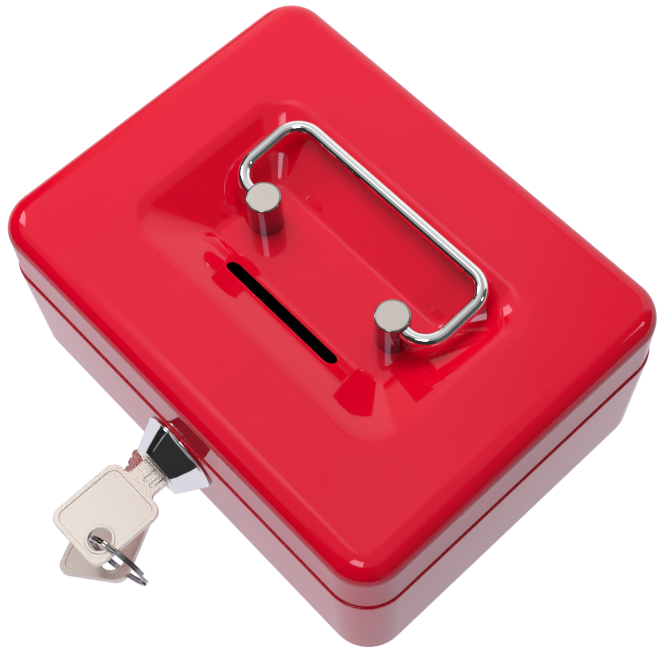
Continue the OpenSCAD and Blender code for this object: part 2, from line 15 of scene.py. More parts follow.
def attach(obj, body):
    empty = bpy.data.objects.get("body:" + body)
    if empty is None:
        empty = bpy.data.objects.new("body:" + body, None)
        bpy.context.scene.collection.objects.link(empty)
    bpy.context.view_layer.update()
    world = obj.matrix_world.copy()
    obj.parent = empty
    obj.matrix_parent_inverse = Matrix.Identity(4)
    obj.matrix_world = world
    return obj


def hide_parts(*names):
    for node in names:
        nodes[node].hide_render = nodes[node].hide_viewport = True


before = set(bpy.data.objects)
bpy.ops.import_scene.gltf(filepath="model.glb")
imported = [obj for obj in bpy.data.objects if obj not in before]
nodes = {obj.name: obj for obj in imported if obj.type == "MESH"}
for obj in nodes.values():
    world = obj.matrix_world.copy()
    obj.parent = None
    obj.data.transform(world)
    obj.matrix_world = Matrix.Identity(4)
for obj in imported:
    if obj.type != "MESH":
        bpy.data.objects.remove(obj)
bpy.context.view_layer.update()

print("CAD nodes:", len(nodes))

# %% [markdown]
# ## Working in millimetres
# Blender works in metres here, and a tin box is easier to think of in millimetres. One constant turns
# one into the other, and one function builds a mesh piece from points in millimetres, links it, and
# says which body it rides on, which finish it takes and which CAD nodes it stands for.

# %% Units and the function that makes a piece
MM = 0.001


def shade_smooth(mesh):
    mesh.polygons.foreach_set("use_smooth", [True] * len(mesh.polygons))


def make_piece(name, points, faces, body, finishes, replaces=()):
    """A smooth-shaded mesh from points in millimetres, riding on a body of the frame."""
    mesh = bpy.data.meshes.new(name)
    mesh.from_pydata([Vector(p) * MM for p in points], [], faces)
    return place_piece(name, mesh, body, finishes, replaces)


def place_piece(name, mesh, body, finishes, replaces=()):
    """Links a finished mesh as a piece of the object."""
    edit = bmesh.new()
    edit.from_mesh(mesh)
    bmesh.ops.recalc_face_normals(edit, faces=edit.faces)
    edit.to_mesh(mesh)
    edit.free()
    shade_smooth(mesh)
    piece = bpy.data.objects.new(name, mesh)
    bpy.context.scene.collection.objects.link(piece)
    for finish in finishes:
        mesh.materials.append(finish)
    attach(piece, body)
    if replaces:
        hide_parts(*replaces)
    print(name, "has", len(mesh.polygons), "faces")
    return piece


def settle(piece):
    """Bakes a piece's modifiers into its mesh."""
    graph = bpy.context.evaluated_depsgraph_get()
    mesh = bpy.data.meshes.new_from_object(piece.evaluated_get(graph))
    piece.modifiers.clear()
    piece.data = mesh


def sharp_by_angle(piece, degrees):
    """Marks edges that turn more than so many degrees, so that they stay crisp in smooth shading."""
    edit = bmesh.new()
    edit.from_mesh(piece.data)
    for edge in edit.edges:
        edge.smooth = not (edge.is_manifold and edge.calc_face_angle(0) > math.radians(degrees))
    edit.to_mesh(piece.data)
    edit.free()

# %% [markdown]
# ## Outlines that many pieces share
# Pressed tin is made of rounded rectangles at different heights, and turned parts are circles at
# different heights. If every outline has the same number of points, neighbours join into clean quads:
# that is a loft, and it gives smooth bends without any modelling by hand.

# %% Rounded rectangles, circles and lofts
CORNER_STEPS = 12


def rounded_rect(width, depth, radius, z, steps=CORNER_STEPS):
    """Points of a rectangle with round corners, anticlockwise."""
    ring = []
    for corner, (sx, sy) in enumerate([(1, 1), (-1, 1), (-1, -1), (1, -1)]):
        for step in range(steps + 1):
            turn = math.radians(90 * (corner + step / steps))
            ring.append((sx * (width / 2 - radius) + radius * math.cos(turn),
                         sy * (depth / 2 - radius) + radius * math.sin(turn), z))
    return ring


def circle(radius, z, count=64):
    """Points of a circle about the Z axis."""
    return [(radius * math.cos(math.tau * i / count), radius * math.sin(math.tau * i / count), z)
            for i in range(count)]


def loft(rings, close_start=False, close_end=False, loop=False):
    """Joins outlines of equal length with quads."""
    count = len(rings[0])
    points = [p for ring in rings for p in ring]
    faces = []
    spans = len(rings) if loop else len(rings) - 1
    for level in range(spans):
        a, b = level * count, (level + 1) % len(rings) * count
        for i in range(count):
            j = (i + 1) % count
            faces.append((a + i, a + j, b + j, b + i))
    if close_start:
        faces.append(tuple(reversed(range(count))))
    if close_end:
        faces.append(tuple(range(len(points) - count, len(points))))
    return points, faces


def bend(start, end, steps):
    """Sines and cosines along a bend, from start to end degrees."""
    turns = [math.radians(start + (end - start) * i / steps) for i in range(steps + 1)]
    return [(math.cos(t), math.sin(t)) for t in turns]


print("points on a rounded rectangle:", len(rounded_rect(10, 10, 2, 0)))

# %% [markdown]
# ## Colours and shader nodes
# Paint and plating are written as sRGB hex values, as a colour chart gives them. The shader wants
# linear light, so one function turns them. Another small function adds a shader node with its settings
# and its links in one line, so that a finish reads as a short list.

# %% Colour and node helpers


def linear(hex_colour):
    """An sRGB hex colour as linear RGBA."""
    parts = [int(hex_colour[i:i + 2], 16) / 255 for i in (1, 3, 5)]
    return [p / 12.92 if p <= 0.04045 else ((p + 0.055) / 1.055) ** 2.4 for p in parts] + [1]


def add(tree, kind, inputs=None, **settings):
    """Adds a shader node. An input is a value, or (node, output) to link from."""
    made = tree.nodes.new("ShaderNode" + kind)
    for key, value in settings.items():
        setattr(made, key, value)
    for key, value in (inputs or {}).items():
        if isinstance(value, tuple) and isinstance(value[0], bpy.types.Node):
            tree.links.new(value[0].outputs[value[1]], made.inputs[key])
        else:
            made.inputs[key].default_value = value
    return made


def new_finish(name):
    """An empty material and its node tree."""
    finish = bpy.data.materials.new(name)
    finish.use_nodes = True
    finish.node_tree.nodes.clear()
    return finish, finish.node_tree


def per_mm(size):
    """Texture scale whose pattern repeats about every so many millimetres."""
    return 1 / (size * MM)


def ramp(tree, source, low, high, start=0.0, end=1.0):
    """Maps a texture's 0..1 to a range of values."""
    return add(tree, "MapRange", {"Value": source, "From Min": start, "From Max": end,
                                  "To Min": low, "To Max": high})

# %% [markdown]
# ## Red stoving enamel
# The steel is sprayed and then baked. The melted enamel flows almost flat, which leaves a hard
# glossy skin over a saturated red, with the faint ripple that sprayers call orange peel. A clear coat
# could be laid on top, but stoving enamel is a single layer, so the plain shader's own gloss does the
# work: at a glancing angle it throws back the white table. That gloss is tinted a little cool, which
# turns white reflections pink over the red instead of orange.

# %% Finish: red stoving enamel
COOL_GLOSS = (0.95, 0.97, 1.25, 1)


def red_stoving_enamel():
    finish, tree = new_finish("red_stoving_enamel")
    where = add(tree, "TexCoord")
    cloud = add(tree, "TexNoise", {"Vector": (where, "Object"), "Scale": per_mm(38), "Detail": 2.0})
    tone = add(tree, "MixRGB", {"Fac": (cloud, "Fac"), "Color1": linear("#E20026"),
                                "Color2": linear("#E8002C")})
    peel = add(tree, "TexNoise", {"Vector": (where, "Object"), "Scale": per_mm(2.6), "Detail": 1.0})
    bump = add(tree, "Bump", {"Height": (peel, "Fac"), "Strength": 0.02, "Distance": 0.05 * MM})
    wipe = add(tree, "TexNoise", {"Vector": (where, "Object"), "Scale": per_mm(9), "Detail": 3.0})
    rough = ramp(tree, (wipe, "Fac"), 0.02, 0.05, 0.35, 0.65)
    skin = add(tree, "BsdfPrincipled", {
        "Base Color": (tone, "Color"), "Roughness": (rough, "Result"), "IOR": 1.45,
        "Specular Tint": COOL_GLOSS, "Normal": (bump, "Normal")})
    add(tree, "OutputMaterial", {"Surface": (skin, "BSDF")})
    return finish


enamel = red_stoving_enamel()
print("made", enamel.name)

# %% [markdown]
# ## Plated and bare metals
# Chrome is the neutral mirror on the handle and the lock. The posts and the split ring take a darker
# chrome; on the posts that darker colour is painted shade, standing in for the shaded recess floor that
# their sides mirror. Nickel on the keys is warmer and softer, because the keys are stamped and tumbled
# before plating. Zinc on the hinges is greyer, with a faint spangle. Turned brass keeps fine tool
# marks. All of them are metals: what changes is the colour, the roughness and the small marks, so one
# function makes them all from those values.

# %% Finishes: plated and bare metals


def metal(name, colour, low_rough, high_rough, grain_mm, bump_mm=0.0, stretch=(1, 1, 1)):
    """A metal whose roughness wanders with a grain of the given size."""
    finish, tree = new_finish(name)
    where = add(tree, "TexCoord")
    laid = add(tree, "Mapping", {"Vector": (where, "Object"), "Scale": stretch})
    grain = add(tree, "TexNoise", {"Vector": (laid, "Vector"), "Scale": per_mm(grain_mm), "Detail": 4.0})
    rough = ramp(tree, (grain, "Fac"), low_rough, high_rough, 0.3, 0.7)
    shade = ramp(tree, (grain, "Fac"), 0.94, 1.0)
    tint = add(tree, "HueSaturation", {"Color": linear(colour), "Value": (shade, "Result")})
    body = {"Base Color": (tint, "Color"), "Metallic": 1.0, "Roughness": (rough, "Result")}
    if bump_mm:
        bump = add(tree, "Bump", {"Height": (grain, "Fac"), "Strength": 0.5, "Distance": bump_mm * MM})
        body["Normal"] = (bump, "Normal")
    skin = add(tree, "BsdfPrincipled", body)
    add(tree, "OutputMaterial", {"Surface": (skin, "BSDF")})
    return finish


chrome = metal("bright_chrome_plate", "#EFF1F3", 0.03, 0.06, 6.0)
# Darker chrome whose colour carries painted shade: the posts' sides mirror the shaded recess floor.
chrome_with_painted_shade = metal("chrome_darkened_as_painted_shade", "#A2A3A6", 0.04, 0.08, 5.0)
nickel = metal("tumbled_nickel_plate", "#F9F1E9", 0.34, 0.42, 0.9, 0.001)
zinc = metal("bright_zinc_plate", "#C4C8CC", 0.26, 0.42, 2.2, 0.003)
brass = metal("turned_brass", "#D8BC78", 0.22, 0.34, 0.5, 0.003, (1, 6, 1))
print("made", chrome.name, chrome_with_painted_shade.name, nickel.name, zinc.name, brass.name)

# %% [markdown]
# ## Satin turned face
# The flat top of each post is faced on a lathe and only lightly polished, so under the chrome it keeps
# rings too fine to count. They are drawn about 0.75 mm apart, several times coarser than the real feed,
# so that they show at all. With the roughness they spread the reflection into a soft even grey.

# %% Finish: satin turned chrome
RING_SPACING = 0.754
WAVE_RADIANS = 20  # a ring wave turns through this much for each unit of its scale


def satin_turned_chrome():
    finish, tree = new_finish("satin_turned_chrome")
    where = add(tree, "TexCoord")
    scale = per_mm(RING_SPACING) * math.tau / WAVE_RADIANS
    rings = add(tree, "TexWave", {"Vector": (where, "Object"), "Scale": scale, "Distortion": 0.6,
                                  "Detail": 1.0}, wave_type="RINGS", rings_direction="Z")
    speck = add(tree, "TexNoise", {"Vector": (where, "Object"), "Scale": per_mm(0.4), "Detail": 3.0})
    bump = add(tree, "Bump", {"Height": (rings, "Fac"), "Strength": 0.25, "Distance": 0.004 * MM})
    rough = ramp(tree, (speck, "Fac"), 0.34, 0.44, 0.3, 0.7)
    skin = add(tree, "BsdfPrincipled", {"Base Color": linear("#E8E1DB"), "Metallic": 1.0,
                                        "Roughness": (rough, "Result"), "Normal": (bump, "Normal")})
    add(tree, "OutputMaterial", {"Surface": (skin, "BSDF")})
    return finish


satin = satin_turned_chrome()

# %% [markdown]
# ## Moulded tray plastic
# The coin tray is moulded in black styrene. The mould's fine texture breaks its shine into a soft
# sheen, and handling polishes it unevenly.

# %% Finish: moulded styrene


def moulded_styrene():
    finish, tree = new_finish("moulded_black_styrene")
    where = add(tree, "TexCoord")
    grain = add(tree, "TexNoise", {"Vector": (where, "Object"), "Scale": per_mm(0.6), "Detail": 2.0})
    patch = add(tree, "TexNoise", {"Vector": (where, "Object"), "Scale": per_mm(25), "Detail": 2.0})
    bump = add(tree, "Bump", {"Height": (grain, "Fac"), "Strength": 0.4, "Distance": 0.02 * MM})
    rough = ramp(tree, (patch, "Fac"), 0.38, 0.55, 0.3, 0.7)
    tone = add(tree, "MixRGB", {"Fac": (patch, "Fac"), "Color1": linear("#1B1C1E"),
                                "Color2": linear("#242527")})
    skin = add(tree, "BsdfPrincipled", {"Base Color": (tone, "Color"), "Roughness": (rough, "Result"),
                                        "IOR": 1.59, "Normal": (bump, "Normal")})
    add(tree, "OutputMaterial", {"Surface": (skin, "BSDF")})
    return finish


styrene = moulded_styrene()
print("made", satin.name, styrene.name)

# %% [markdown]
# ## The lid
# The lid is one pressing: side walls, a rolled top edge, a flat top, and a sunk tray whose bends are
# soft, because deep-drawn tin can't take a sharp corner. It could be sculpted or bevelled, but a loft
# of rounded rectangles follows the press tool exactly. The rolled edge is wider than it is high on the
# front and sides, and tight along the back, so that the hinge leaves stay hidden behind it. The
# sheet's thickness is added at the end.

# %% The lid's sizes
BODY_W, BODY_D, BODY_H = 152.0, 115.0, 66.0
CORNER_R = 12.0
SHEET = 0.8
BASE_H, SEAM = 44.2, 1.2
LID_EDGE_H, LID_EDGE_W, LID_DRAFT = 5.2, 7.5, 0.3
RECESS_TOP = (99.5, 60.0, 10.0)
RECESS_FLOOR = (65.0, 24.0, 2.5)
RECESS_DEPTH = 11.1
TOP_BEND, FLOOR_BEND = 0.15, 0.10


def sunk(share):
    """Depth below the lid's top, share of the way from the recess's edge to its floor."""
    if share < -TOP_BEND:
        return 0.0
    if share < TOP_BEND:
        return RECESS_DEPTH * (share + TOP_BEND) ** 2 / (4 * TOP_BEND)
    if share < 1 - FLOOR_BEND:
        return RECESS_DEPTH * share
    if share < 1 + FLOOR_BEND:
        return RECESS_DEPTH * (1 - (1 + FLOOR_BEND - share) ** 2 / (4 * FLOOR_BEND))
    return RECESS_DEPTH


def recess_ring(share):
    """Outline of the recess at a share of the way down."""
    w, d, r = (top + (floor - top) * share for top, floor in zip(RECESS_TOP, RECESS_FLOOR))
    return rounded_rect(w, d, max(r, 0.6), BODY_H - sunk(share))


def rolled_ring(turned, extra, z):
    """Lid outline at a share of its rolled edge's width; the back edge is as tight as it is high."""
    inset = LID_DRAFT + LID_EDGE_W * turned + extra
    back = LID_DRAFT + LID_EDGE_H * turned + extra
    ring = rounded_rect(BODY_W - 2 * inset, BODY_D - inset - back, CORNER_R - inset, z)
    return [(x, y + (inset - back) / 2, up) for x, y, up in ring]


def lid_rings():
    """Outlines of the lid from its rim, over the rolled edge, to the floor of the recess."""
    rim = BASE_H + SEAM
    shoulder = BODY_H - LID_EDGE_H
    rings = [rounded_rect(BODY_W, BODY_D, CORNER_R, rim),
             rounded_rect(BODY_W - 0.04, BODY_D - 0.04, CORNER_R, rim + 0.4),
             rounded_rect(BODY_W - 2 * LID_DRAFT, BODY_D - 2 * LID_DRAFT, CORNER_R - LID_DRAFT,
                          shoulder - 0.3)]
    for c, s in bend(0, 90, 10):
        rings.append(rolled_ring(1 - c, 0, shoulder + LID_EDGE_H * s))
    rings.append(rolled_ring(1, 0.5, BODY_H))
    shares = [-TOP_BEND - 0.03] + [-TOP_BEND + 2 * TOP_BEND * i / 8 for i in range(9)]
    shares += [TOP_BEND + 0.04, 1 - FLOOR_BEND - 0.04]
    shares += [1 - FLOOR_BEND + 2 * FLOOR_BEND * i / 6 for i in range(7)]
    rings += [recess_ring(share) for share in shares]
    floor = 1 + FLOOR_BEND
    w, d, r = (top + (low - top) * floor for top, low in zip(RECESS_TOP, RECESS_FLOOR))
    rings.append(rounded_rect(w - 1, d - 1, max(r - 0.5, 0.4), BODY_H - RECESS_DEPTH))
    return rings


# %% Press the lid
def thicken(piece):
    """Gives a pressing the sheet's thickness, inwards."""
    sheet = piece.modifiers.new("sheet", "SOLIDIFY")
    sheet.thickness = SHEET * MM
    sheet.offset = -1
    settle(piece)


points, faces = loft(lid_rings(), close_end=True)
lid = make_piece("lid_pressing", points, faces, "lid", [enamel], ["lid_shell"])
thicken(lid)
print("lid walls start", BASE_H + SEAM, "mm above the table")

# %% [markdown]
# ## The coin slot
# The slot is punched through the front slope of the recess, with round ends, and its edge is turned
# over so that coins and fingers don't catch. A cutter shaped like the punch makes the hole, which opens
# out behind the sheet's face, and a thin rolled lip follows its edge.

# %% Punch the slot and roll its lip
SLOT_L, SLOT_W, SLOT_UP = 43.0, 4.9, 5.0
PUNCH_PROFILE = ((2.0, -2.2), (0, -0.12), (0, 4))  # growth and height, from behind the sheet outwards
LIP = 0.16
CRISP_SHEET = 35  # edges of cut sheet that turn more than this stay sharp, in degrees
SLOPE = math.atan2(RECESS_DEPTH, (RECESS_TOP[1] - RECESS_FLOOR[1]) / 2)
slot_frame = (Matrix.Translation((0, -RECESS_FLOOR[1] / 2, BODY_H - RECESS_DEPTH))
              @ Matrix.Rotation(-SLOPE, 4, "X") @ Matrix.Translation((0, -SLOT_UP, 0)))


def slot_outline(grow, z):
    """Outline of the slot in the slope's own plane, grown by so many millimetres."""
    r = SLOT_W / 2 + grow
    half = (SLOT_L - SLOT_W) / 2
    ring = []
    for side, start in ((1, -90), (-1, 90)):
        for c, s in bend(start, start + 180, 14):
            ring.append(slot_frame @ Vector((side * half + r * c, r * s, z)))
    return ring


def cut_away(target, cutter, crisp):
    """Cuts the cutter's shape out of a piece, and shades the piece again."""
    cut = target.modifiers.new("cut", "BOOLEAN")
    cut.object = cutter
    cut.solver = "EXACT"
    settle(target)
    bpy.data.objects.remove(cutter)
    shade_smooth(target.data)
    sharp_by_angle(target, crisp)


points, faces = loft([slot_outline(grow, z) for grow, z in PUNCH_PROFILE], True, True)
cut_away(lid, make_piece("punch", points, faces, "lid", [enamel]), CRISP_SHEET)

lip_rings = [slot_outline(LIP + LIP * c, -0.04 + LIP * 0.6 * s) for c, s in bend(0, 180, 8)]
lip_rings += [slot_outline(0.02, -0.2)]
points, faces = loft(lip_rings)
make_piece("coin_slot_lip", points, faces, "lid", [enamel])
print("coin slot", SLOT_L, "x", SLOT_W, "mm")

# %% [markdown]
# ## The base
# The base is drawn like the lid: a rounded bottom edge, walls that lean in a little, and a shoulder
# where the sheet turns in and up into the neck. The lid drops over that neck, and the dark line
# between lid and base is the open gap in front of it.

# %% Draw the base
LEDGE, BASE_EDGE_R, BASE_DRAFT = 0.5, 4.0, 0.75
NECK_H, NECK_GAP = 4.944, 0.35
SHOULDER_R = 0.45
base_w, base_d, base_r = BODY_W + 2 * LEDGE, BODY_D + 2 * LEDGE, CORNER_R + LEDGE


def base_ring(inset, z):
    """Outline of the base, inset from its shoulder."""
    return rounded_rect(base_w - 2 * inset, base_d - 2 * inset, base_r - inset, z)


base_rings = [base_ring(BASE_DRAFT + BASE_EDGE_R + 3, 0), base_ring(BASE_DRAFT + BASE_EDGE_R + 0.4, 0)]
for c, s in bend(0, 90, 8):
    base_rings.append(base_ring(BASE_DRAFT + BASE_EDGE_R * (1 - s), BASE_EDGE_R * (1 - c)))
base_rings.append(base_ring(BASE_DRAFT - 0.01, BASE_EDGE_R + 0.4))
base_rings.append(base_ring(0.01, BASE_H - SHOULDER_R - 0.4))
for c, s in bend(0, 90, 5):
    base_rings.append(base_ring(SHOULDER_R * (1 - c), BASE_H - SHOULDER_R * (1 - s)))
neck_inset = LEDGE + SHEET + NECK_GAP
base_rings.append(base_ring(neck_inset - 0.25, BASE_H))
for c, s in bend(0, 90, 4):
    base_rings.append(base_ring(neck_inset - 0.2 * (1 - s), BASE_H + 0.2 * (1 - c)))
base_rings += [base_ring(neck_inset, BASE_H + 0.5), base_ring(neck_inset, BASE_H + NECK_H)]
points, faces = loft(base_rings, close_start=True)
base = make_piece("base_pressing", points, faces, "base", [enamel], ["base_shell"])
thicken(base)

# %% [markdown]
# ## The lock's hole
# The hole is punched through the front wall, so that the barrel passes into the box. A cutter works
# here as it did for the slot.

# %% Punch the lock's hole
LOCK_X, LOCK_Y, LOCK_Z = 1.0, -57.963, 29.5
LOCK_HOLE_R = 8.1
lock_frame = Matrix.Translation((LOCK_X, LOCK_Y, LOCK_Z)) @ Matrix.Rotation(math.pi / 2, 4, "X")


def at(matrix, ring):
    """The same outline, moved by a matrix."""
    return [matrix @ Vector(p) for p in ring]


points, faces = loft([at(lock_frame, circle(LOCK_HOLE_R, z)) for z in (-4, 3)], True, True)
cut_away(base, make_piece("punch", points, faces, "base", [enamel]), CRISP_SHEET)
print("lock hole", 2 * LOCK_HOLE_R, "mm across")

# %% [markdown]
# ## The handle
# The handle is one 4.1 mm steel rod, bent four times and chrome plated. A path of straights and arcs
# with a circle swept along it is how the bending jig makes it, and it keeps the tube round in the bends.

# %% Bend the handle
ROD_R, ROD_Y, ROD_Z, TILT = 2.05, 1.1, 64.6, math.radians(5.5)
ARM_X, REACH, ARM_BEND, GRIP_BEND, ROD_END = 38.25, 24.8, 7.35, 7.2, 23.5


def arc(cx, cy, radius, start, end, steps=12):
    """Points of an arc in the XY plane."""
    return [Vector((cx + radius * c, cy + radius * s, 0)) for c, s in bend(start, end, steps)]


def sweep(path, outline, ups):
    """Carries an outline of (side, up) pairs along a path. ups gives each point's upward direction."""
    rings = []
    for i, p in enumerate(path):
        along = (path[min(i + 1, len(path) - 1)] - path[max(i - 1, 0)]).normalized()
        up = ups[i]
        side = along.cross(up).normalized()
        up = side.cross(along).normalized()
        rings.append([p + side * a + up * b for a, b in outline])
    return rings


half = [Vector((ROD_END, 0, 0)), Vector((ROD_END + 3, 0, 0))]
half += arc(ARM_X - ARM_BEND, ARM_BEND, ARM_BEND, -90, 0)
half += arc(ARM_X - GRIP_BEND, REACH - GRIP_BEND, GRIP_BEND, 0, 90)
path = half + [Vector((-p.x, p.y, 0)) for p in reversed(half)]
round_rod = [(ROD_R * c, ROD_R * s) for c, s in bend(0, 360, 28)[:-1]]
lay = Matrix.Translation((0, ROD_Y, ROD_Z)) @ Matrix.Rotation(TILT, 4, "X")
rings = [at(lay, ring) for ring in sweep(path, round_rod, [Vector((0, 0, 1))] * len(path))]
points, faces = loft(rings, True, True)
handle = make_piece("bent_handle", points, faces, "handle", [chrome], ["handle"])
sharp_by_angle(handle, 40)
print("rod length", round(sum((b - a).length for a, b in zip(path, path[1:])), 1), "mm")

# %% [markdown]
# ## The posts
# Each post is a turned stud: a plain barrel, a small chamfer, and a faced top. A lathe profile spun
# round its axis gives it, in its own space, so that the turning marks stay centred on the post. The
# handle's cross hole is drilled from the outer side and has a slightly broken edge.

# %% Turn the posts
POST_X, POST_Y, POST_H, POST_STEPS = 25.5, 1.1, 12.7, 96
FACE_R, FACE_SINK = 4.45, 0.04
FLOOR_Z = BODY_H - RECESS_DEPTH
# Both profiles are pairs of a radius and a height along the axis.
POST_PROFILE = [(2.0, 0), (4.9, 0), (5.0, 0.12), (5.0, 1.0), (5.0, 12.0), (5.0, 12.25),
                (4.94, 12.45), (4.80, 12.60), (4.62, 12.68), (FACE_R, POST_H)]
DRILL_PROFILE = [(2.12, -2.5), (2.12, 4.5), (2.5, 5.0), (2.9, 6.0)]


def post(name, side, node):
    """A turned post with a satin face, spun about its own axis and then put in its place."""
    points, faces = loft([circle(r, z, POST_STEPS) for r, z in POST_PROFILE], close_start=True)
    face_z = POST_H - FACE_SINK
    top = [(FACE_R, POST_H), (FACE_R - 0.05, face_z), (0.4, face_z)]
    more, lids = loft([circle(r, z, POST_STEPS) for r, z in top], close_end=True)
    faces += [tuple(i + len(points) for i in face) for face in lids]
    made = make_piece(name, points + more, faces, "lid", [chrome_with_painted_shade, satin], [node])
    for face in made.data.polygons:
        level = all(made.data.vertices[v].co.z > (face_z - 0.005) * MM for v in face.vertices)
        if level and face.normal.z > 0.9 and face.center.xy.length < (FACE_R - 0.03) * MM:
            face.material_index = 1
    made.matrix_world = Matrix.Translation(Vector((side * POST_X, POST_Y, FLOOR_Z)) * MM)
    return made


def drill(target, side):
    """Cross hole with a broken edge, from the middle of the post outwards."""
    x = side * POST_X
    out = Matrix.Translation((x, POST_Y, ROD_Z)) @ Matrix.Rotation(side * math.pi / 2, 4, "Y")
    points, faces = loft([at(out, circle(r, z, 40)) for r, z in DRILL_PROFILE], True, True)
    cut_away(target, make_piece("drill_bit", points, faces, "lid", [chrome]), 30)


for name, side, node in (("turned_post_left", -1, "post_left"), ("turned_post_right", 1, "post_right")):
    drill(post(name, side, node), side)

# %% [markdown]
# ## The lock's nose
# The lock is a zinc die casting, polished and chromed: a thin flange against the box and a tapering
# nose with ten flats, five wide and five narrow, that gives fingers something to find in the dark.
# Its outline is worked out by angle, so that the flats, the round flange and the round bore all have
# the same number of points and join as one loft. Rounding the corners a little is what makes the
# bright lines between the flats.

# %% Cast the lock
FLANGE_R, FLANGE_T, NOSE_L, TIP_T = 12.7, 1.1, 7.5, 0.3
NOSE_BASE, NOSE_TIP, NOSE_HALF, NOSE_TURN = 12.6, 8.5, 29.0, -1.0
BORE_R, BARREL_R, BARREL_L = 5.65, 8.0, 12.0
AROUND = 240
SOFTNESS = 70  # the higher this is, the sharper are the corners between the flats


def nose_ring(radius, z):
    """Ten-sided outline with slightly round corners, its corners on a circle of the given radius."""
    corners = sorted(72 * q + NOSE_TURN + e * NOSE_HALF for q in range(5) for e in (-1, 1))
    flats = []
    for a, b in zip(corners, corners[1:] + [corners[0] + 360]):
        flats.append((math.radians((a + b) / 2), radius * math.cos(math.radians((b - a) / 2))))
    ring = []
    for i in range(AROUND):
        turn = math.tau * i / AROUND
        pull = sum(max(math.cos(turn - facing) / reach, 0) ** SOFTNESS for facing, reach in flats)
        r = pull ** (-1 / SOFTNESS)
        ring.append((r * math.cos(turn), r * math.sin(turn), z))
    return ring


def ring_at(radius, z):
    """A circle with as many points as the nose."""
    return circle(radius, z, AROUND)


nose_end = FLANGE_T + NOSE_L
lock_rings = [ring_at(BORE_R, -BARREL_L + SHEET), ring_at(BARREL_R - 0.3, -BARREL_L + SHEET),
              ring_at(BARREL_R, -BARREL_L + SHEET + 0.3), ring_at(BARREL_R, 0),
              ring_at(FLANGE_R - 0.2, 0.0)]
lock_rings += [ring_at(FLANGE_R - 0.35 + 0.35 * c, 0.4 + 0.35 * s) for c, s in bend(-60, 90, 6)]
lock_rings += [nose_ring(NOSE_BASE - 0.1, FLANGE_T - 0.02), nose_ring(NOSE_BASE - 0.15, FLANGE_T + 0.05)]
for share in (0.25, 0.5, 0.75, 0.97):
    lock_rings.append(nose_ring(NOSE_BASE + (NOSE_TIP - NOSE_BASE) * share, FLANGE_T + NOSE_L * share))
lock_rings += [nose_ring(NOSE_TIP - 0.15, nose_end - 0.02), nose_ring(NOSE_TIP - 0.5, nose_end + 0.02),
               ring_at(6.75, nose_end + 0.02), ring_at(6.7, nose_end + TIP_T - 0.15),
               ring_at(6.5, nose_end + TIP_T), ring_at(BORE_R + 0.1, nose_end + TIP_T),
               ring_at(BORE_R, nose_end + TIP_T - 0.1)]
points, faces = loft([at(lock_frame, ring) for ring in lock_rings], loop=True)
lock = make_piece("lock_casting", points, faces, "base", [chrome], ["lock_body"])
sharp_by_angle(lock, 50)

# %% [markdown]
# ## The keys
# A key blank is stamped from sheet, coined and milled: a raised rim round a sunk panel, a raised ring
# round the hole, two grooves along the neck, and cuts in the blade. Flat curves with holes in them
# give all of that: one for the core of the blank, one for the raised face and one for the ring, each
# given its thickness and a small round edge.

# %% Key outlines
BOW_W, BOW_L, BOW_R, KEY_T = 21.0, 24.1, 3.5, 1.8
NECK_W, NECK_L, BLADE_W, BLADE_L = 9.6, 6.2, 7.6, 17.0
HOLE_R, HOLE_X, HOLE_Y = 3.3, 4.6, 6.3
KEY_RIM, KEY_SUNK, FILLET = 1.5, 0.25, 1.5
CUTS, CUT_PITCH, CUT_DEPTH, TIP_HALF = 4, 3.2, 0.7, 1.0


def key_outline():
    """Outline of the blank: bow at the origin, blade along +Y, with its cuts."""
    w, n, b = BOW_W / 2, NECK_W / 2, BLADE_W / 2
    ring = [(w - BOW_R + BOW_R * c, BOW_R + BOW_R * s) for c, s in bend(-90, 0, 8)]
    ring += [(w - BOW_R + BOW_R * c, BOW_L - BOW_R + BOW_R * s) for c, s in bend(0, 90, 8)]
    ring += [(n + FILLET + FILLET * c, BOW_L + FILLET + FILLET * s) for c, s in bend(270, 180, 6)]
    ring += [(n, BOW_L + NECK_L), (b, BOW_L + NECK_L)]
    for place in range(CUTS):
        y = BOW_L + NECK_L + CUT_PITCH + CUT_PITCH * place
        ring += [(b, y - CUT_DEPTH), (b - CUT_DEPTH, y), (b, y + CUT_DEPTH)]
    end = BOW_L + NECK_L + BLADE_L
    ring += [(b, end - 2), (TIP_HALF, end)]
    return ring + [(-x, y) for x, y in reversed(ring)]


def flat_rect(x0, x1, y0, y1, r):
    """A rounded rectangle in the key's plane."""
    points = rounded_rect(x1 - x0, y1 - y0, r, 0, 8)
    return [(p[0] + (x0 + x1) / 2, p[1] + (y0 + y1) / 2) for p in points]


def flat_circle(x, y, r, count=48):
    return [(x + p[0], y + p[1]) for p in circle(r, 0, count)]


def stamped(outlines, thickness, edge):
    """A mesh stamped from flat outlines: the first is the outside and the rest are holes."""
    curve = bpy.data.curves.new("stamp", "CURVE")
    curve.dimensions = "2D"
    curve.fill_mode = "BOTH"
    curve.extrude = (thickness / 2 - edge) * MM
    curve.bevel_depth = edge * MM
    curve.bevel_resolution = 2
    curve.offset = -edge * MM
    for outline in outlines:
        line = curve.splines.new("POLY")
        line.points.add(len(outline) - 1)
        for place, (x, y) in zip(line.points, outline):
            place.co = (x * MM, y * MM, 0, 1)
        line.use_cyclic_u = True
    holder = bpy.data.objects.new("stamp", curve)
    bpy.context.scene.collection.objects.link(holder)
    graph = bpy.context.evaluated_depsgraph_get()
    mesh = bpy.data.meshes.new_from_object(holder.evaluated_get(graph))
    bpy.data.objects.remove(holder)
    return mesh


